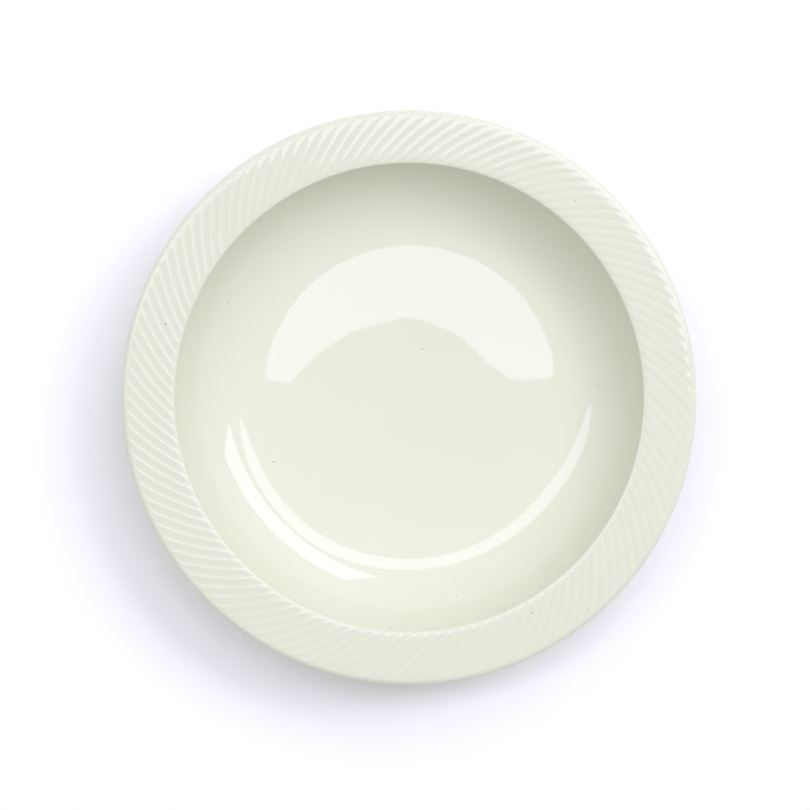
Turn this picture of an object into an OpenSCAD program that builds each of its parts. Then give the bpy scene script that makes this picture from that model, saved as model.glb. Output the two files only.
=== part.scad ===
// Round deep serving platter: a glazed plate with a dished well, a level rim of fine spiral flutes
// and a foot ring. The clay, the main coat of glaze and the glaze on the base are separate solids.
// All sizes are in millimetres. The plate stands on z = 0 and is round about the z axis.

/* [Plate] */
// Overall diameter across the lip
plate_d = 300; // [292:1:310]
// Diameter of the shallow dished floor of the well
floor_d = 168; // [160:1:170]
// Diameter at which the shoulder ends and the level rim begins
rim_inner_d = 251; // [249:0.5:252]
// Slope of the dished floor where the wall begins, in degrees
floor_slope = 5.5; // [4:0.5:7]
// Steepest slope of the well wall, in degrees
wall_slope = 65; // [62:1:67]
// Radius of the shoulder between the wall and the rim
shoulder_r = 5; // [4.5:0.1:5.5]

/* [Clay] */
// Thickness of the clay in the floor and the wall
body_t = 5; // [4.5:0.1:5.5]
// Thickness of the clay in the rim
rim_t = 3.6; // [3.4:0.1:3.8]
// Radius of the crown that leads from the level rim to the lip
crown_r = 6; // [5.5:0.1:6.5]
// Radius of the edge of the lip
lip_r = 1.3; // [1.2:0.1:1.5]
// Radius of the hollow under the shoulder
under_r = 6; // [5:0.5:7]

/* [Foot] */
// Middle diameter of the foot ring
foot_d = 166; // [160:1:170]
// Width of the foot ring
foot_w = 5; // [4:0.1:6]
// Gap between the table and the middle of the base
base_gap = 3; // [2:0.1:4]
// Rounding of the two standing edges of the foot
foot_round = 1; // [0.5:0.1:1.2]

/* [Flutes] */
// Number of spiral flutes round the rim
flute_count = 120; // [90:1:120]
// Width of one flute
flute_w = 4; // [2.5:0.1:4.2]
// Depth of one flute, cut in the glaze only
flute_depth = 0.25; // [0.15:0.05:0.3]
// Lean of the flutes from the radial direction, in degrees
flute_lean = 47; // [35:1:50]
// Radius of the curve that a flute follows in plan
flute_bend = 127; // [100:1:200]
// Diameter at which the flutes begin, over the shoulder
flute_inner_d = 247; // [246:0.5:252]
// Diameter at which the flutes end, over the crown
flute_outer_d = 295; // [290:0.5:296]
// Turn of the whole pattern about the plate's axis, in degrees
flute_phase = 1; // [0:0.1:3]

/* [Glaze] */
// Thickness of the glaze
glaze_t = 0.4; // [0.35:0.05:0.5]
// Height of the bare ring that is wiped clean round the foot
wipe_h = 1.6; // [1.2:0.1:2]

/* [Hidden] */
$fn = 120;

clay_colour = "#d8c9ac";
glaze_colour = "#ecece0";

// Unit directions in the half section, from the centre of a hollow or a crowned arc to its surface
// where that climbs at slope s
function below(s) = [sin(s), -cos(s)];
function above(s) = [-sin(s), cos(s)];

// Where two arcs run on smoothly, one bites into the other by a hair, so that they cross cleanly, and
// the buried one runs on a little past the crossing
bite = 0.005;
run_on = 0.9;
function run_on_angle(r) = run_on / r * 180 / PI;

// Floor: part of a large sphere, so that it dishes gently
floor_edge = floor_d / 2;
floor_r = floor_edge / sin(floor_slope);
floor_z = base_gap + glaze_t + body_t;
floor_c = [0, floor_z + floor_r];

// Wall: one arc that leaves the floor smoothly and ends at its steepest slope
rim_inner = rim_inner_d / 2;
wall_r = (rim_inner - floor_edge - shoulder_r * sin(wall_slope)) / (sin(wall_slope) - sin(floor_slope));
wall_c = floor_c + (floor_r - wall_r + bite) * below(floor_slope);
back_r = wall_r + body_t;

// Shoulder and level rim
shoulder_c = wall_c + (wall_r + shoulder_r - bite) * below(wall_slope);
rim_z = shoulder_c[1] + shoulder_r - bite;

// Lip: its edge touches the underside of the rim, and the crown runs into it smoothly
lip_c = [plate_d / 2 - glaze_t - lip_r, rim_z - rim_t + lip_r - bite];
crown_z = rim_z - crown_r + bite;
crown_gap = crown_r - lip_r + bite;
crown_slope = acos((lip_c[1] - crown_z) / crown_gap);
crown_c = lip_c - crown_gap * above(-crown_slope);

// Hollow under the shoulder: touches the back of the wall and the underside of the rim
under_z = rim_z - rim_t - under_r + bite;
under_gap = back_r + under_r - bite;
under_c = [wall_c[0] + sqrt(pow(under_gap, 2) - pow(wall_c[1] - under_z, 2)), under_z];
under_dir = (under_c - wall_c) / under_gap;

// Middle radius of the foot ring
foot_mid = foot_d / 2;

// Flutes: curved gutters of level depth, each an arc of a circle swept along an arc in plan. They run
// out where the shoulder and the crown fall away, which gives the scalloped edges of the pattern
flute_mid = (flute_inner_d + flute_outer_d) / 4;
flute_len = (flute_outer_d - flute_inner_d) / 2 / cos(flute_lean);
flute_sweep = flute_len / flute_bend * 180 / PI;
flute_r = (flute_w * flute_w / 4 + flute_depth * flute_depth) / (2 * flute_depth);
// Height of a gutter's cutter above the rim
flute_lid = 0.05;

module disc(c, r) {
    translate(c) circle(r);
}

module wedge(c, from, to, reach) {
    polygon([c, c + reach * from, c + reach * (from + to), c + reach * to]);
}

// A curved wall of even thickness between two slopes
module band(c, inner, outer, from, to) {
    intersection() {
        difference() {
            disc(c, outer);
            disc(c, inner);
        }
        wedge(c, below(from), below(to), outer);
    }
}

module shoulder(skin) {
    rim_mid = rim_z - rim_t / 2;
    more = run_on_angle(shoulder_r);
    intersection() {
        disc(shoulder_c, shoulder_r + skin);
        wedge(shoulder_c, above(wall_slope + more), above(-more), 3 * shoulder_r);
    }
    difference() {
        polygon([
            wall_c + (wall_r + body_t / 2) * under_dir,
            wall_c + (back_r + skin) * under_dir,
            [under_c[0], under_c[1] + under_r - skin],
            [under_c[0], rim_mid],
            [shoulder_c[0], rim_mid],
            wall_c + (wall_r + body_t / 2) * below(wall_slope),
        ]);
        disc(under_c, under_r - skin);
    }
}

module rim(skin) {
    underside = rim_z - rim_t - skin;
    corner = [shoulder_c[0], underside];
    translate(corner) square([crown_c[0] - corner[0], rim_t + 2 * skin]);
    translate(corner) square([lip_c[0] - corner[0], lip_r + skin]);
    intersection() {
        disc(crown_c, crown_r + skin);
        wedge(crown_c, above(run_on_angle(crown_r)), above(-crown_slope), 2 * crown_r);
        translate([crown_c[0] - run_on, underside]) square(2 * crown_r);
    }
    disc(lip_c, lip_r + skin);
}

module foot(skin) {
    half = foot_w / 2 + skin;
    corner = half - foot_round;
    translate([foot_mid - half, foot_round]) square([2 * half, floor_z - foot_round]);
    translate([foot_mid - corner, 0]) square([2 * corner, floor_z]);
    for (side = [-1, 1]) disc([foot_mid + side * corner, foot_round], foot_round);
}

// Half section of the plate, grown outwards by a skin
module section(skin) {
    band(floor_c, floor_r - skin, floor_r + body_t + skin, 0, floor_slope + run_on_angle(floor_r));
    band(wall_c, wall_r - skin, back_r + skin, floor_slope, wall_slope);
    shoulder(skin);
    rim(skin);
    foot(skin);
}

// Everything under the middle of the floor and inside the foot ring
module base_zone() {
    difference() {
        square([foot_mid, floor_z + body_t]);
        disc(floor_c, floor_r + body_t / 2);
    }
}

module glaze_section() {
    difference() {
        section(glaze_t);
        section(0);
        square([plate_d, wipe_h]);
    }
}

module flute() {
    translate([flute_mid, 0, rim_z + glaze_t])
        rotate([0, 0, 90 - flute_lean])
            translate([-flute_bend, 0, 0])
                rotate([0, 0, -flute_sweep / 2])
                    rotate_extrude(angle = flute_sweep)
                        translate([flute_bend, 0])
                            intersection() {
                                translate([0, flute_r - flute_depth]) circle(flute_r);
                                translate([-flute_w, -flute_w]) square([2 * flute_w, flute_w + flute_lid]);
                            }
}

module clay_body() {
    color(clay_colour) rotate_extrude() section(0);
}

module glaze_coat() {
    color(glaze_colour) difference() {
        rotate_extrude() difference() {
            glaze_section();
            base_zone();
        }
        for (i = [0 : flute_count - 1]) rotate([0, 0, flute_phase + i * 360 / flute_count]) flute();
    }
}

module base_glaze() {
    color(glaze_colour) rotate_extrude() intersection() {
        glaze_section();
        base_zone();
    }
}

clay_body();
glaze_coat();
base_glaze();
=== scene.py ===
import math

import bmesh
import bpy
from bpy.props import FloatProperty, FloatVectorProperty, IntProperty, PointerProperty
from mathutils import Matrix, Vector


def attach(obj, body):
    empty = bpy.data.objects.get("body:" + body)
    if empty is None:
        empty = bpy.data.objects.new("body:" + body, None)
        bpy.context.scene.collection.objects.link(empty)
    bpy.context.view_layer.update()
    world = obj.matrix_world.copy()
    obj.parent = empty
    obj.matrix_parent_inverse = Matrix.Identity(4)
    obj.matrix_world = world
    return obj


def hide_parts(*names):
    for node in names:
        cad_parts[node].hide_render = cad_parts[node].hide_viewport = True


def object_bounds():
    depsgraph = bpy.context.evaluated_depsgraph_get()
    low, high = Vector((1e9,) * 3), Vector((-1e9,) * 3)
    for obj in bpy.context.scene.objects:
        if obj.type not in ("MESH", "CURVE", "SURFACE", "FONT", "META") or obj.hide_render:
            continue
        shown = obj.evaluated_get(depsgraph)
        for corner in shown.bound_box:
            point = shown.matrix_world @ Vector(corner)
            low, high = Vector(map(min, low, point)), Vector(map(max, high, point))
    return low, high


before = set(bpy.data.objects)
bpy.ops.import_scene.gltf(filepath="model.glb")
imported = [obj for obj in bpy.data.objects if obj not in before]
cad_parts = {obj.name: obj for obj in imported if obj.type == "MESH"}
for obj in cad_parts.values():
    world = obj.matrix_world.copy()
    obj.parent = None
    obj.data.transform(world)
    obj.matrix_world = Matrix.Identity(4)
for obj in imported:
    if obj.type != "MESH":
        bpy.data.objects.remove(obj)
CAD_LOW, CAD_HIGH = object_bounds()

bl_info = {
    "name": "Fluted Serving Platter",
    "version": (1, 0, 0),
    "blender": (4, 5, 0),
    "location": "View3D > Sidebar > Platter",
    "description": "Builds a glazed deep platter with a spiral fluted rim, piece by piece",
    "category": "Add Mesh",
}

MM = 0.001
# Points nearer to each other than this are one point
MERGE = 0.002 * MM

# Sizes and colours that a user would change


def length(name, description, millimetres):
    """A length property whose default is given in millimetres."""
    return FloatProperty(
        name=name, description=description, default=millimetres * MM, unit="LENGTH", precision=4
    )


def slope(name, description, degrees):
    """An angle property whose default is given in degrees."""
    return FloatProperty(
        name=name, description=description, default=math.radians(degrees), subtype="ANGLE"
    )


def colour(name, description, rgb):
    """A linear colour property."""
    return FloatVectorProperty(
        name=name, description=description, default=rgb, subtype="COLOR", min=0.0, max=1.0
    )


def amount(name, description, value):
    """A plain number."""
    return FloatProperty(name=name, description=description, default=value)


class PlatterSizes(bpy.types.PropertyGroup):
    """Sizes of the half section, as in the solids but for finer curves of wall, shoulder and crown."""

    rim_reach: FloatProperty(
        name="Rim Reach",
        description="Distance from the axis to the outside of the lip",
        default=CAD_HIGH.x,
        unit="LENGTH",
        precision=4,
    )
    rim_height: FloatProperty(
        name="Rim Height",
        description="Height of the level rim above the table, with its glaze",
        default=CAD_HIGH.z,
        unit="LENGTH",
        precision=4,
    )
    floor_edge: length("Floor Edge", "Radius of the dished floor of the well", 84)
    floor_slope: slope("Floor Slope", "Slope of the floor where the wall begins", 5.5)
    wall_round: length("Wall Round", "Radius of the hollow curve of the wall", 46.6)
    rim_start: length("Rim Start", "Radius at which the rim starts to fall to the shoulder", 125)
    rim_end: length("Rim End", "Radius at which the rim starts to fall to the lip", 144.8)
    inner_crest: length("Inner Crest", "Radius of the gentle fall towards the shoulder", 5.6)
    inner_slope: slope("Inner Slope", "Slope at which the shoulder turns down into the wall", 22)
    outer_crest: length("Outer Crest", "Radius of the gentle fall towards the lip", 12.6)
    outer_slope: slope("Outer Slope", "Slope at which the crown turns down to the lip", 12.5)
    body_thick: length("Body Thickness", "Clay in the floor and the wall", 5)
    rim_thick: length("Rim Thickness", "Clay in the rim", 3.6)
    lip_round: length("Lip Round", "Radius of the edge of the lip", 1.3)
    under_round: length("Under Round", "Radius of the hollow under the shoulder", 6)
    foot_middle: length("Foot Middle", "Middle radius of the foot ring", 83)
    foot_width: length("Foot Width", "Width of the foot ring", 5)
    foot_round: length("Foot Round", "Rounding of the standing edges of the foot", 1)
    base_gap: length("Base Gap", "Height of the base above the table at the axis", 3)
    glaze: length("Glaze", "Thickness of the glaze", 0.4)
    wiped: length("Wiped Height", "Height of the bare ring round the foot", 1.6)


class FluteSizes(bpy.types.PropertyGroup):
    """The spiral flutes of the rim."""

    count: IntProperty(name="Count", description="Flutes round the rim", default=120, min=3)
    middle: length("Middle", "Radius at which the phase is measured", 136.45)
    phase: slope("Phase", "Turn of the first valley about the axis, at the middle radius", 0.99)
    turn: amount("Turn", "Turn of a flute about the axis, in degrees for each millimetre outwards", -0.455)
    depth: length("Depth", "Mean depth of a valley below the ridges", 0.13)
    sway: amount("Sway", "Share by which the depth grows and shrinks round the rim", 0.33)
    deepest: slope("Deepest", "Direction in which the flutes are deepest, from the right", 150)
    inner_rise: amount("Inner Rise", "Share of the spacing on the short flank, at the inner end", 0.325)
    outer_rise: amount("Outer Rise", "Share of the spacing on the short flank, at the outer end", 0.27)
    inner_end: length("Inner End", "Radius at which the flutes end towards the well", 122.7)
    outer_end: length("Outer End", "Radius at which the flutes end towards the lip", 147.4)
    inner_run: length("Inner Run", "Length over which a flute runs out towards the well", 1.1)
    outer_run: length("Outer Run", "Length over which a flute runs out towards the lip", 1.5)
    end_gain: amount("End Gain", "Share by which a flute is deeper at its ends", 0.7)
    end_reach: length("End Reach", "Length over which a flute grows deeper towards its end", 3)
    lean_from: length("Lean From", "Radius at which the surface starts to follow the flutes", 116)


class PlatterColours(bpy.types.PropertyGroup):
    """Linear colours of the glaze and the clay."""

    glaze: colour("Glaze", "Cream glaze, faintly green", (0.81, 0.81, 0.645))
    ridge: colour("Ridge", "Glaze where it is thin, on the ridges", (0.78, 0.78, 0.617))
    deep: colour("Deep", "Glaze where it lies a little thicker", (0.80, 0.802, 0.63))
    speck: colour("Speck", "Tiny iron specks", (0.30, 0.25, 0.18))
    clay: colour("Clay", "Bare fired clay of the foot", (0.66, 0.56, 0.42))
    clay_dark: colour("Clay Dark", "Darker grains of the clay", (0.50, 0.40, 0.28))


class StageLook(bpy.types.PropertyGroup):
    """Table, lights and camera."""

    table: colour("Table", "White table", (0.96, 0.96, 0.96))
    table_size: length("Table Size", "Side of the square table", 8000)
    table_glow: amount("Table Glow", "Light that the table adds for the lens and in mirrors", 0.05)
    light: colour("Light", "Colour of the lamps, a little blue", (0.755, 0.765, 0.91))
    sky: colour("Sky", "Colour of the room light", (0.955, 0.96, 1.0))
    low_sky: amount("Low Sky", "Strength of the room light where it is weakest", 0.17)
    high_sky: amount("High Sky", "Strength of the room light where it is strongest", 0.85)
    sky_side: amount("Sky Side", "Lean of the brightest room light to the right, as a share of up", -0.12)
    sky_back: amount("Sky Back", "Lean of the brightest room light to the back, as a share of up", 0.27)
    lens_height: length("Lens Height", "Distance from the rim up to the lens", 1300)
    view_width: length("View Width", "Width of the picture at the rim", 421.9)
    view_right: length("View Right", "Middle of the picture, right of the axis", -2.1)
    view_up: length("View Up", "Middle of the picture, up from the axis", -3.9)


def sizes():
    return bpy.context.scene.platter_sizes


def flutes():
    return bpy.context.scene.platter_flutes


def colours():
    return bpy.context.scene.platter_colours


def stage_look():
    return bpy.context.scene.platter_stage


# Half section: points are (distance from the axis, height)


def below(angle):
    """Unit direction from the centre of a hollow arc to its surface at a slope."""
    return Vector((math.sin(angle), -math.cos(angle)))


def above(angle):
    """Unit direction from the centre of a crowned arc to its surface at a slope."""
    return -below(angle)


def arc(centre, radius, direction, start, end, steps):
    """Points of an arc from one slope to another."""
    slopes = (start + (end - start) * i / steps for i in range(steps + 1))
    return [centre + radius * direction(s) for s in slopes]


def straight(start, end, steps):
    """Points of a straight stretch."""
    return [start.lerp(end, i / steps) for i in range(steps + 1)]


def join(*stretches):
    """One line from stretches that meet end to end."""
    line = []
    for points in stretches:
        skip = 1 if line and (line[-1] - points[0]).length < MERGE else 0
        line += points[skip:]
    return line


# Slopes on the shoulder and on the crown between which the surface is fine enough for flutes
FLUTED_BEND = math.radians(32)
FLUTED_CROWN = math.radians(26)


class Section:
    """The half section of the platter, grown outwards by a skin of glaze."""

    def __init__(self, skin):
        s = sizes()
        self.s = s
        self.skin = skin
        self.rim_z = s.rim_height - s.glaze
        self.floor_z = s.base_gap + s.glaze + s.body_thick
        self.floor_r = s.floor_edge / math.sin(s.floor_slope)
        self.floor_c = Vector((0, self.floor_z + self.floor_r))
        self.wall_c = self.floor_c + (self.floor_r - s.wall_round) * below(s.floor_slope)
        self.back_r = s.wall_round + s.body_thick
        self.place_shoulder()
        self.place_lip()
        under_z = self.rim_z - s.rim_thick - s.under_round
        drop = self.wall_c.y - under_z
        across = math.sqrt((self.back_r + s.under_round) ** 2 - drop**2)
        self.under_c = Vector((self.wall_c.x + across, under_z))
        self.under_slope = math.atan2(across, drop)

    def place_shoulder(self):
        """Tight bend that runs from the gentle inner crest smoothly into the wall."""
        s = self.s
        self.inner_c = Vector((s.rim_start, self.rim_z - s.inner_crest))
        out = above(s.inner_slope)
        reach = self.inner_c + s.inner_crest * out - self.wall_c
        self.bend_r = (reach.length_squared - s.wall_round**2) / (2 * (s.wall_round + reach.dot(out)))
        self.bend_c = self.inner_c + (s.inner_crest - self.bend_r) * out
        gap = self.bend_c - self.wall_c
        self.wall_slope = math.atan2(gap.x, -gap.y)

    def place_lip(self):
        """Crown that runs from the gentle outer crest smoothly into the edge of the lip."""
        s = self.s
        self.lip_c = Vector(
            (s.rim_reach - s.glaze - s.lip_round, self.rim_z - s.rim_thick + s.lip_round)
        )
        self.outer_c = Vector((s.rim_end, self.rim_z - s.outer_crest))
        out = above(-s.outer_slope)
        reach = self.outer_c + s.outer_crest * out - self.lip_c
        self.crown_r = (reach.length_squared - s.lip_round**2) / (2 * (reach.dot(out) - s.lip_round))
        self.crown_c = self.outer_c + (s.outer_crest - self.crown_r) * out
        gap = self.lip_c - self.crown_c
        self.crown_slope = math.atan2(gap.x, gap.y)

    def well(self, floor_steps, wall_steps, bend_steps):
        """Floor, wall and the steep half of the shoulder, from the axis outwards."""
        s = self.s
        wall = s.wall_round - self.skin
        bend = self.bend_r + self.skin
        return join(
            arc(self.floor_c, self.floor_r - self.skin, below, 0, s.floor_slope, floor_steps),
            arc(self.wall_c, wall, below, s.floor_slope, self.wall_slope, wall_steps),
            arc(self.bend_c, bend, above, self.wall_slope, FLUTED_BEND, bend_steps),
        )

    def rim(self, end_steps, crest_steps, level_steps):
        """Top of the shoulder, level rim and start of the crown, over which the flutes run."""
        s = self.s
        top = self.rim_z + self.skin
        bend = self.bend_r + self.skin
        crown = self.crown_r + self.skin
        return join(
            arc(self.bend_c, bend, above, FLUTED_BEND, s.inner_slope, end_steps),
            arc(self.inner_c, s.inner_crest + self.skin, above, s.inner_slope, 0, crest_steps),
            straight(Vector((s.rim_start, top)), Vector((s.rim_end, top)), level_steps),
            arc(self.outer_c, s.outer_crest + self.skin, above, 0, -s.outer_slope, crest_steps),
            arc(self.crown_c, crown, above, -s.outer_slope, -FLUTED_CROWN, end_steps),
        )

    def lip(self, crown_steps, edge_steps):
        """Rest of the crown and edge of the lip, round to the underside of the rim."""
        s = self.s
        crown = self.crown_r + self.skin
        edge = s.lip_round + self.skin
        return join(
            arc(self.crown_c, crown, above, -FLUTED_CROWN, -self.crown_slope, crown_steps),
            arc(self.lip_c, edge, above, -self.crown_slope, -math.pi, edge_steps),
        )

    def back(self, under_steps, hollow_steps, wall_steps, end):
        """Underside of the rim, hollow under the shoulder and back of the wall, in to a radius."""
        under = self.rim_z - self.s.rim_thick - self.skin
        radius = self.back_r + self.skin
        hollow = self.s.under_round - self.skin
        end_slope = math.asin((end - self.wall_c.x) / radius)
        return join(
            straight(Vector((self.lip_c.x, under)), Vector((self.under_c.x, under)), under_steps),
            arc(self.under_c, hollow, above, 0, self.under_slope, hollow_steps),
            arc(self.wall_c, radius, below, self.under_slope, end_slope, wall_steps),
        )

    def foot_side(self, side):
        """Radius of the outer (1) or inner (-1) side of the foot."""
        return self.s.foot_middle + side * (self.s.foot_width / 2 + self.skin)

    def base(self, steps):
        """Underside of the floor, from the axis out to the inner side of the foot."""
        radius = self.floor_r + self.s.body_thick + self.skin
        end = math.asin(self.foot_side(-1) / radius)
        return arc(self.floor_c, radius, below, 0, end, steps)


# Steps over each rounded edge of the foot and over each wiped edge of the glaze
FOOT_STEPS = 5
WIPED_STEPS = 4


def wiped_edge(side):
    """Rounded lower edge of the glaze on a side of the foot, from the outside to the clay."""
    s = sizes()
    half = s.glaze / 2
    middle = Vector((Section(half).foot_side(side), s.wiped + half))
    return arc(middle, half, above, -side * math.pi / 2, -side * 1.5 * math.pi, WIPED_STEPS)


# Meshes

# Steps round the plain pieces
ROUND_STEPS = 180
# Steps round one flute where the coat is smooth, and cuts of each step where it is fluted
SECTOR_STEPS = 3
FLUTE_CUTS = 4
# Share of the spacing at which a ridge is drawn, one step on from the valley
RIDGE_AT = 1 / SECTOR_STEPS
# Faces thinner than this are dissolved
SLIVER = 0.0001 * MM


def draw_line(bm, line):
    """Puts a line of the half section into the mesh as a chain of edges."""
    chain = [bm.verts.new((point.x, 0, point.y)) for point in line]
    for first, second in zip(chain, chain[1:]):
        bm.edges.new((first, second))
    return chain


def spin_all(bm, angle, steps, **more):
    """Spins everything drawn so far about the axis of the platter."""
    geom = bm.verts[:] + bm.edges[:] + bm.faces[:]
    bmesh.ops.spin(bm, geom=geom, cent=(0, 0, 0), axis=(0, 0, 1), angle=angle, steps=steps, **more)


def close_up(bm):
    """Merges the seam and the poles, and turns all faces outwards."""
    bmesh.ops.remove_doubles(bm, verts=bm.verts[:], dist=MERGE)
    bmesh.ops.dissolve_degenerate(bm, dist=SLIVER, edges=bm.edges[:])
    bmesh.ops.recalc_face_normals(bm, faces=bm.faces[:])


def turned_mesh(line):
    """A line of the half section that runs from the axis back to it, turned into a full round."""
    bm = bmesh.new()
    draw_line(bm, line)
    spin_all(bm, 2 * math.pi, ROUND_STEPS, use_merge=True)
    close_up(bm)
    return bm


def finish_piece(bm, name, node, material):
    """Makes the object, smooth shaded, and ties it to the frame."""
    mesh = bpy.data.meshes.new(name)
    bm.to_mesh(mesh)
    bm.free()
    mesh.shade_smooth()
    mesh.materials.append(material)
    piece = bpy.data.objects.new(name, mesh)
    bpy.context.scene.collection.objects.link(piece)
    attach(piece, "root")
    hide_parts(node)


def spacing():
    """Angle from one flute to the next."""
    return 2 * math.pi / flutes().count


def eased(share):
    """Smooth step from 0 to 1."""
    share = min(max(share, 0), 1)
    return share * share * (3 - 2 * share)


def end_gain(radius):
    """Depth of a flute at a radius, as a multiple of its depth in the middle."""
    f = flutes()
    inside = min(radius - f.inner_end, f.outer_end - radius)
    return 1 + f.end_gain * (1 - eased(inside / f.end_reach))


def kept(radius):
    """Share of a flute that is left at a radius, where it runs out in a scallop at both ends."""
    f = flutes()
    inside = min((radius - f.inner_end) / f.inner_run, (f.outer_end - radius) / f.outer_run)
    return min(max(inside, 0), 1)


def shifted(share, radius):
    """Moves a share of the spacing so that the ridge comes from where it is drawn to its place."""
    f = flutes()
    out = (radius - f.inner_end) / (f.outer_end - f.inner_end)
    rise = f.inner_rise + (f.outer_rise - f.inner_rise) * out
    if share < RIDGE_AT:
        return rise * share / RIDGE_AT
    return 1 - (1 - rise) * (1 - share) / (1 - RIDGE_AT)


def relief(share):
    """Height between a valley (0) and a ridge (1), with the ridge where it is drawn."""
    climb = share / RIDGE_AT if share < RIDGE_AT else (1 - share) / (1 - RIDGE_AT)
    return (1 - math.cos(math.pi * climb)) / 2


def distance_out(vert):
    """Distance of a vertex from the axis of the platter."""
    return math.hypot(vert.co.x, vert.co.y)


def press_flute(bm, fluted, thin, sunk):
    """Shapes one flute in a sector of the rim and leans the sector along the spiral."""
    f = flutes()
    for vert in bm.verts:
        radius = distance_out(vert)
        turn = f.phase + math.radians(f.turn) * (max(radius, f.lean_from) - f.middle) / MM
        if vert[fluted]:
            share = math.atan2(vert.co.y, vert.co.x) / spacing()
            height, left = relief(share), kept(radius)
            vert[thin] = left * height
            vert[sunk] = end_gain(radius) * max(left - height, 0)
            turn += left * spacing() * (shifted(share, radius) - share)
        vert.co = Matrix.Rotation(turn, 3, "Z") @ vert.co


def sink_flutes(bm, sunk):
    """Presses the flutes in, a little deeper on one side of the rim."""
    f = flutes()
    for vert in bm.verts:
        azimuth = math.atan2(vert.co.y, vert.co.x)
        vert.co.z -= vert[sunk] * f.depth * (1 + f.sway * math.cos(azimuth - f.deepest))


def coat_lines():
    """Outside of the main coat, the part of it that is fluted, and the side that lies on the clay."""
    coat, clay = Section(sizes().glaze), Section(0)
    rim = coat.rim(end_steps=2, crest_steps=7, level_steps=4)
    back = coat.back(under_steps=4, hollow_steps=6, wall_steps=14, end=coat.foot_side(1))
    edge = wiped_edge(1)
    outside = join(
        coat.well(floor_steps=14, wall_steps=36, bend_steps=6),
        rim,
        coat.lip(crown_steps=7, edge_steps=10),
        back,
        straight(back[-1], edge[0], steps=3),
        edge,
    )
    hidden = join(
        clay.well(floor_steps=2, wall_steps=6, bend_steps=3),
        clay.rim(end_steps=1, crest_steps=2, level_steps=1),
        clay.lip(crown_steps=2, edge_steps=4),
        clay.back(under_steps=1, hollow_steps=3, wall_steps=5, end=clay.foot_side(1)),
    )
    return outside, rim, hidden


def draw_sector(bm, fluted):
    """Draws the coat over the spacing of one flute, with finer steps where it is fluted."""
    outside, rim, hidden = coat_lines()
    chain = draw_line(bm, outside)
    for vert in chain:
        if any((vert.co.xz - point).length < MERGE for point in rim):
            vert[fluted] = 1
    hidden_chain = draw_line(bm, hidden)
    bm.edges.new((chain[-1], hidden_chain[-1]))
    spin_all(bm, spacing(), SECTOR_STEPS)
    bmesh.ops.remove_doubles(bm, verts=bm.verts[:], dist=MERGE)
    around = []
    for edge in bm.edges:
        first, second = edge.verts
        runs_round = abs(distance_out(first) - distance_out(second)) < MERGE
        if runs_round and first[fluted] and second[fluted]:
            around.append(edge)
    bmesh.ops.subdivide_edges(bm, edges=around, cuts=FLUTE_CUTS)


def glaze_mesh():
    """One sector of the coat with one flute, spun round the axis."""
    bm = bmesh.new()
    layers = bm.verts.layers.float
    fluted, thin, sunk = [layers.new(name) for name in ("fluted", "thin", "sunk")]
    draw_sector(bm, fluted)
    press_flute(bm, fluted, thin, sunk)
    spin_all(bm, 2 * math.pi - spacing(), flutes().count - 1, use_duplicate=True)
    sink_flutes(bm, sunk)
    for name in ("fluted", "sunk"):
        layers.remove(layers[name])
    close_up(bm)
    return bm


# Materials


def add_node(tree, kind, inputs=None, **settings):
    """Adds a node with its settings, and fills its sockets with values or links."""
    node = tree.nodes.new(kind)
    for name, value in settings.items():
        setattr(node, name, value)
    fill(tree, node, inputs or {})
    return node


def fill(tree, node, inputs):
    """Gives each named socket of a node a value, or a link where an output is given."""
    for name, value in inputs.items():
        if isinstance(value, bpy.types.NodeSocket):
            tree.links.new(value, node.inputs[name])
        else:
            node.inputs[name].default_value = value


def mix_colours(tree, factor, first, second):
    """Output of a colour mix."""
    inputs = {"Factor": factor, "A": first, "B": second}
    return add_node(tree, "ShaderNodeMix", inputs, data_type="RGBA").outputs["Result"]


def opaque(rgb):
    return (*rgb, 1.0)


def new_group(name, inputs, output):
    """An empty node group with named number inputs, a Vector input and one number output."""
    group = bpy.data.node_groups.new(name, "ShaderNodeTree")
    group.interface.new_socket("Vector", in_out="INPUT", socket_type="NodeSocketVector")
    for socket in inputs:
        group.interface.new_socket(socket, in_out="INPUT", socket_type="NodeSocketFloat")
    group.interface.new_socket(output, in_out="OUTPUT", socket_type="NodeSocketFloat")
    start = group.nodes.new("NodeGroupInput")
    end = group.nodes.new("NodeGroupOutput")
    return group, start.outputs, end


def mottle_group():
    """Soft uneven values between a low and a high one."""
    name = "soft_mottle"
    if name in bpy.data.node_groups:
        return bpy.data.node_groups[name]
    group, given, end = new_group(name, ("Scale", "Low", "High"), "Value")
    noise = add_node(
        group,
        "ShaderNodeTexNoise",
        {"Vector": given["Vector"], "Scale": given["Scale"], "Detail": 3.0},
    )
    spread = add_node(
        group,
        "ShaderNodeMapRange",
        {
            "Value": noise.outputs["Fac"],
            "From Min": 0.3,
            "From Max": 0.7,
            "To Min": given["Low"],
            "To Max": given["High"],
        },
    )
    fill(group, end, {"Value": spread.outputs["Result"]})
    return group


def speck_group():
    """Mask of scattered round specks; Size is their reach as a share of the spacing."""
    name = "scattered_specks"
    if name in bpy.data.node_groups:
        return bpy.data.node_groups[name]
    group, given, end = new_group(name, ("Scale", "Size"), "Mask")
    cells = add_node(
        group, "ShaderNodeTexVoronoi", {"Vector": given["Vector"], "Scale": given["Scale"]}
    )
    mask = add_node(
        group,
        "ShaderNodeMapRange",
        {
            "Value": cells.outputs["Distance"],
            "From Min": given["Size"],
            "From Max": 0.0,
            "To Min": 0.0,
            "To Max": 1.6,
        },
    )
    fill(group, end, {"Mask": mask.outputs["Result"]})
    return group


def place_group(tree, group, inputs):
    """Places a group in a material and gives back its one output."""
    node = add_node(tree, "ShaderNodeGroup", node_tree=group)
    fill(tree, node, inputs)
    return node.outputs[0]


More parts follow.
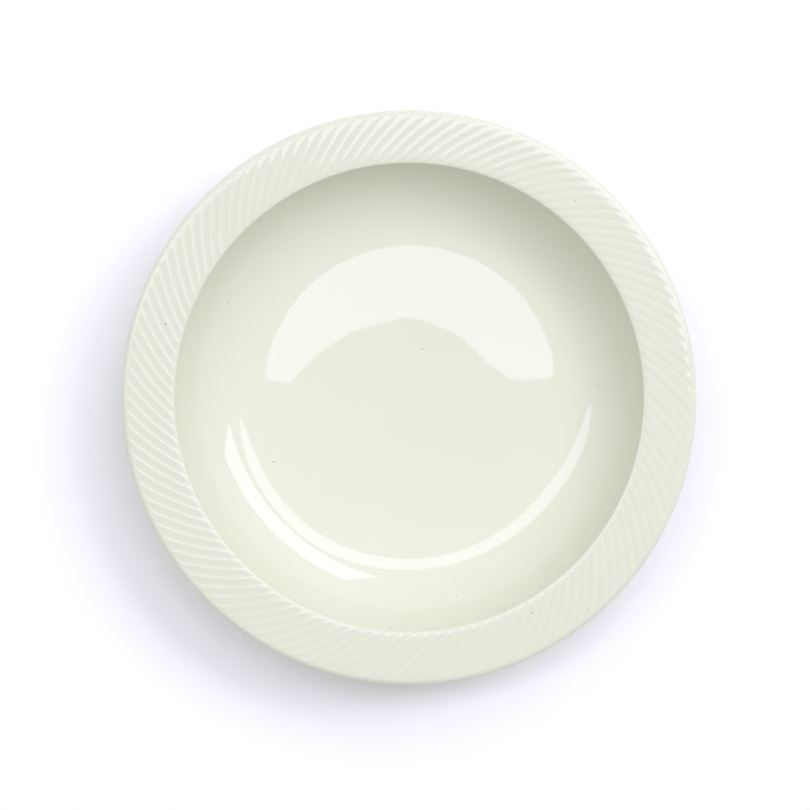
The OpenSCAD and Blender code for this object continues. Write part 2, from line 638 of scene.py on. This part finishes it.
def new_material(name):
    """A node material with its Principled shader."""
    material = bpy.data.materials.new(name)
    material.use_nodes = True
    tree = material.node_tree
    return material, tree, tree.nodes["Principled BSDF"]


def glaze_material():
    """Glossy cream glaze with faint clouds and tiny iron specks, a little darker on the ridges."""
    material, tree, shader = new_material("cream_glaze")
    c = colours()
    place = add_node(tree, "ShaderNodeTexCoord").outputs["Object"]
    thin = add_node(tree, "ShaderNodeAttribute", attribute_name="thin").outputs["Fac"]
    mottle, specks = mottle_group(), speck_group()
    clouds = place_group(tree, mottle, {"Vector": place, "Scale": 16.0, "Low": 0.0, "High": 1.0})
    dots = place_group(tree, specks, {"Vector": place, "Scale": 55.0, "Size": 0.03})
    gloss = place_group(tree, mottle, {"Vector": place, "Scale": 60.0, "Low": 0.008, "High": 0.02})
    waves = place_group(tree, mottle, {"Vector": place, "Scale": 45.0, "Low": 0.0, "High": 1.0})
    body = mix_colours(tree, clouds, opaque(c.glaze), opaque(c.deep))
    fluted = mix_colours(tree, thin, body, opaque(c.ridge))
    speckled = mix_colours(tree, dots, fluted, opaque(c.speck))
    bump = add_node(tree, "ShaderNodeBump", {"Strength": 0.3, "Distance": 0.00002, "Height": waves})
    fill(
        tree,
        shader,
        {
            "Base Color": speckled,
            "Roughness": gloss,
            "Normal": bump.outputs["Normal"],
            "IOR": 1.58,
        },
    )
    return material


def clay_material():
    """Bare fired clay, dry and a little grainy."""
    material, tree, shader = new_material("bare_clay")
    c = colours()
    place = add_node(tree, "ShaderNodeTexCoord").outputs["Object"]
    mottle, specks = mottle_group(), speck_group()
    tone = place_group(tree, mottle, {"Vector": place, "Scale": 220.0, "Low": 0.1, "High": 1.0})
    grog = place_group(tree, specks, {"Vector": place, "Scale": 420.0, "Size": 0.28})
    rough = place_group(tree, mottle, {"Vector": place, "Scale": 500.0, "Low": 0.72, "High": 0.92})
    grain = place_group(tree, mottle, {"Vector": place, "Scale": 1500.0, "Low": 0.0, "High": 1.0})
    body = mix_colours(tree, tone, opaque(c.clay_dark), opaque(c.clay))
    grainy = mix_colours(tree, grog, body, opaque(c.clay_dark))
    bump = add_node(tree, "ShaderNodeBump", {"Strength": 0.5, "Distance": 0.0001, "Height": grain})
    fill(
        tree,
        shader,
        {"Base Color": grainy, "Roughness": rough, "Normal": bump.outputs["Normal"]},
    )
    return material


# Operators


class PLATTER_OT_clay_body(bpy.types.Operator):
    """Fired clay with its foot ring, bare only where the foot stands"""

    bl_idname = "platter.clay_body"
    bl_label = "Clay Body"

    def execute(self, context):
        clay = Section(0)
        r = sizes().foot_round
        outside, inside = clay.foot_side(1), clay.foot_side(-1)
        line = join(
            clay.well(floor_steps=6, wall_steps=16, bend_steps=4),
            clay.rim(end_steps=2, crest_steps=3, level_steps=2),
            clay.lip(crown_steps=3, edge_steps=6),
            clay.back(under_steps=2, hollow_steps=6, wall_steps=12, end=outside),
            arc(Vector((outside - r, r)), r, above, -math.pi / 2, -math.pi, FOOT_STEPS),
            arc(Vector((inside + r, r)), r, above, -math.pi, -1.5 * math.pi, FOOT_STEPS),
            clay.base(steps=8)[::-1],
        )
        finish_piece(turned_mesh(line), "clay_body_fired", "clay_body", clay_material())
        return {"FINISHED"}


class PLATTER_OT_glaze_coat(bpy.types.Operator):
    """Main coat of glaze with the spiral fluted rim"""

    bl_idname = "platter.glaze_coat"
    bl_label = "Glaze Coat"

    def execute(self, context):
        finish_piece(glaze_mesh(), "glaze_coat_fluted", "glaze_coat", glaze_material())
        return {"FINISHED"}


class PLATTER_OT_base_glaze(bpy.types.Operator):
    """Glaze on the base, inside the foot ring"""

    bl_idname = "platter.base_glaze"
    bl_label = "Base Glaze"

    def execute(self, context):
        coat, clay = Section(sizes().glaze), Section(0)
        line = join(coat.base(steps=10), wiped_edge(-1), clay.base(steps=6)[::-1])
        material = bpy.data.materials["cream_glaze"]
        finish_piece(turned_mesh(line), "base_glaze_disc", "base_glaze", material)
        return {"FINISHED"}


# Stage

WHITE = (1.0, 1.0, 1.0, 1.0)
BLACK = (0.0, 0.0, 0.0, 1.0)


def seen_directly(tree):
    """1 for rays from the lens and for mirrored and transmitted ones, so that all of them see white."""
    path = add_node(tree, "ShaderNodeLightPath").outputs
    seen = path["Is Camera Ray"]
    for other in ("Is Glossy Ray", "Is Transmission Ray"):
        larger = add_node(tree, "ShaderNodeMath", operation="MAXIMUM")
        tree.links.new(seen, larger.inputs[0])
        tree.links.new(path[other], larger.inputs[1])
        seen = larger.outputs["Value"]
    return seen


def stage_object(name, bm, material):
    """Adds a mesh that is only part of the stage."""
    mesh = bpy.data.meshes.new(name)
    bm.to_mesh(mesh)
    bm.free()
    mesh.materials.append(material)
    item = bpy.data.objects.new(name, mesh)
    bpy.context.scene.collection.objects.link(item)


def add_table():
    """White table that keeps the shadow of the platter."""
    look = stage_look()
    material, tree, shader = new_material("white_table")
    glow = add_node(tree, "ShaderNodeMath", operation="MULTIPLY")
    tree.links.new(seen_directly(tree), glow.inputs[0])
    glow.inputs[1].default_value = look.table_glow
    fill(
        tree,
        shader,
        {
            "Base Color": opaque(look.table),
            "Roughness": 1.0,
            "Specular IOR Level": 0.0,
            "Emission Color": WHITE,
            "Emission Strength": glow.outputs["Value"],
        },
    )
    bm = bmesh.new()
    bmesh.ops.create_grid(bm, x_segments=1, y_segments=1, size=look.table_size / 2)
    stage_object("table", bm, material)


def add_room():
    """Room light that is brightest to one side of straight up, and looks white to the lens."""
    look = stage_look()
    world = bpy.data.worlds.new("studio")
    world.use_nodes = True
    tree = world.node_tree
    aim = add_node(tree, "ShaderNodeTexCoord").outputs["Generated"]
    towards = add_node(tree, "ShaderNodeVectorMath", operation="DOT_PRODUCT")
    tree.links.new(aim, towards.inputs[0])
    towards.inputs[1].default_value = Vector((look.sky_side, look.sky_back, 1)).normalized()
    sky = add_node(
        tree,
        "ShaderNodeMapRange",
        {"Value": towards.outputs["Value"], "To Min": look.low_sky, "To Max": look.high_sky},
    )
    seen = seen_directly(tree)
    strength = add_node(
        tree, "ShaderNodeMix", {"Factor": seen, "A": sky.outputs["Result"], "B": 1.0}
    ).outputs["Result"]
    tint = mix_colours(tree, seen, opaque(look.sky), WHITE)
    fill(tree, tree.nodes["Background"], {"Color": tint, "Strength": strength})
    bpy.context.scene.world = world


def add_panel(name, azimuth, zenith, distance, width, height, radiance):
    """A soft rectangular lamp that faces the platter; angles in degrees, lengths in metres."""
    lamp = bpy.data.lights.new(name, "AREA")
    lamp.shape = "RECTANGLE"
    lamp.size = width
    lamp.size_y = height
    lamp.energy = radiance * math.pi * width * height
    lamp.color = stage_look().light
    panel = bpy.data.objects.new(name, lamp)
    turn, tilt = math.radians(azimuth), math.radians(zenith)
    aim = Vector((math.sin(tilt) * math.cos(turn), math.sin(tilt) * math.sin(turn), math.cos(tilt)))
    panel.location = distance * aim
    panel.rotation_mode = "QUATERNION"
    panel.rotation_quaternion = (-aim).to_track_quat("-Z", "Y")
    bpy.context.scene.collection.objects.link(panel)
    return panel


def smooth(rows, steps):
    """More rows between the given ones, on a smooth curve through them."""
    ends = [rows[0], *rows, rows[-1]]
    out = []
    for a, b, c, d in zip(ends, ends[1:], ends[2:], ends[3:]):
        for i in range(steps):
            t = i / steps
            bend = (2 * a - 5 * b + 4 * c - d) * t + (3 * b - a - 3 * c + d) * t * t
            out.append(b + ((c - a) + bend) * t / 2)
    return out + [rows[-1]]


# Radiance of the sheets of light, and steps from one row of an outline to the next
SHEET_RADIANCE = 3.85
SHEET_STEPS = 6


def add_sheet(name, height, rows):
    """A level sheet of light behind the camera; each row is an azimuth and two zenith angles."""
    bm = bmesh.new()
    edges = []
    for azimuth, near, far in smooth([Vector(row) for row in rows], SHEET_STEPS):
        aim = Vector((math.cos(math.radians(azimuth)), math.sin(math.radians(azimuth))))
        points = [height * math.tan(math.radians(zenith)) * aim for zenith in (near, far)]
        edges.append([bm.verts.new((p.x, p.y, height)) for p in points])
    for first, second in zip(edges, edges[1:]):
        bm.faces.new((*first, *second[::-1]))
    material, tree, shader = new_material(name)
    fill(
        tree,
        shader,
        {
            "Base Color": BLACK,
            "Emission Color": opaque(stage_look().light),
            "Emission Strength": SHEET_RADIANCE,
        },
    )
    stage_object(name, bm, material)


# Outlines of the sheets of light, in degrees: azimuth, then the zenith angles of the two edges
ARCH_LIGHT = (
    (7, 22.3, 23.3),
    (20, 15.3, 27.5),
    (57, 13.9, 29.4),
    (90, 12.1, 26.1),
    (120, 12.1, 26.7),
    (145, 15.3, 31.6),
    (165, 25.5, 39.4),
    (177, 35.8, 40.8),
)
LENS_LIGHT = (
    (186, 2.95, 4.00),
    (190, 2.69, 4.19),
    (197, 2.42, 4.30),
    (206, 2.28, 4.40),
    (220, 2.12, 4.51),
    (240, 2.04, 4.54),
    (265, 2.05, 4.54),
    (292, 2.19, 4.50),
    (310, 2.34, 4.46),
    (330, 2.66, 4.37),
    (342, 2.98, 4.34),
    (356, 3.50, 4.22),
)


def add_camera():
    """Camera above the platter that looks straight down."""
    look = stage_look()
    scene = bpy.context.scene
    camera = bpy.data.objects.new("camera", bpy.data.cameras.new("camera"))
    camera.location = (look.view_right, look.view_up, CAD_HIGH.z + look.lens_height)
    camera.data.lens = camera.data.sensor_width * look.lens_height / look.view_width
    scene.collection.objects.link(camera)
    scene.camera = camera


class PLATTER_OT_stage(bpy.types.Operator):
    """White table, soft studio lights and the camera above the platter"""

    bl_idname = "platter.stage"
    bl_label = "Stage"

    def execute(self, context):
        context.scene.view_settings.view_transform = "Standard"
        add_table()
        add_room()
        add_panel(
            "key_panel", azimuth=44, zenith=42.2, distance=8.0, width=6.4, height=2.6, radiance=3.7
        )
        side = add_panel(
            "side_panel", azimuth=25, zenith=48, distance=8.0, width=3.0, height=3.0, radiance=4.4
        )
        side.visible_glossy = False
        add_sheet("arch_light", height=20.0, rows=ARCH_LIGHT)
        add_sheet("lens_light", height=1.70, rows=LENS_LIGHT)
        add_camera()
        return {"FINISHED"}


class PLATTER_PT_sidebar(bpy.types.Panel):
    """Lists the pieces in the order in which they are made"""

    bl_label = "Platter"
    bl_idname = "PLATTER_PT_sidebar"
    bl_space_type = "VIEW_3D"
    bl_region_type = "UI"
    bl_category = "Platter"

    def draw(self, context):
        for operator in OPERATORS:
            self.layout.operator(operator.bl_idname)


GROUPS = {
    "platter_sizes": PlatterSizes,
    "platter_flutes": FluteSizes,
    "platter_colours": PlatterColours,
    "platter_stage": StageLook,
}
OPERATORS = (PLATTER_OT_clay_body, PLATTER_OT_glaze_coat, PLATTER_OT_base_glaze, PLATTER_OT_stage)


def register():
    for name, group in GROUPS.items():
        bpy.utils.register_class(group)
        setattr(bpy.types.Scene, name, PointerProperty(type=group))
    for operator in OPERATORS:
        bpy.utils.register_class(operator)
    bpy.utils.register_class(PLATTER_PT_sidebar)


def unregister():
    bpy.utils.unregister_class(PLATTER_PT_sidebar)
    for operator in reversed(OPERATORS):
        bpy.utils.unregister_class(operator)
    for name, group in GROUPS.items():
        delattr(bpy.types.Scene, name)
        bpy.utils.unregister_class(group)


def main():
    register()
    bpy.ops.platter.clay_body()
    bpy.ops.platter.glaze_coat()
    bpy.ops.platter.base_glaze()
    bpy.ops.platter.stage()


if __name__ == "__main__":
    main()
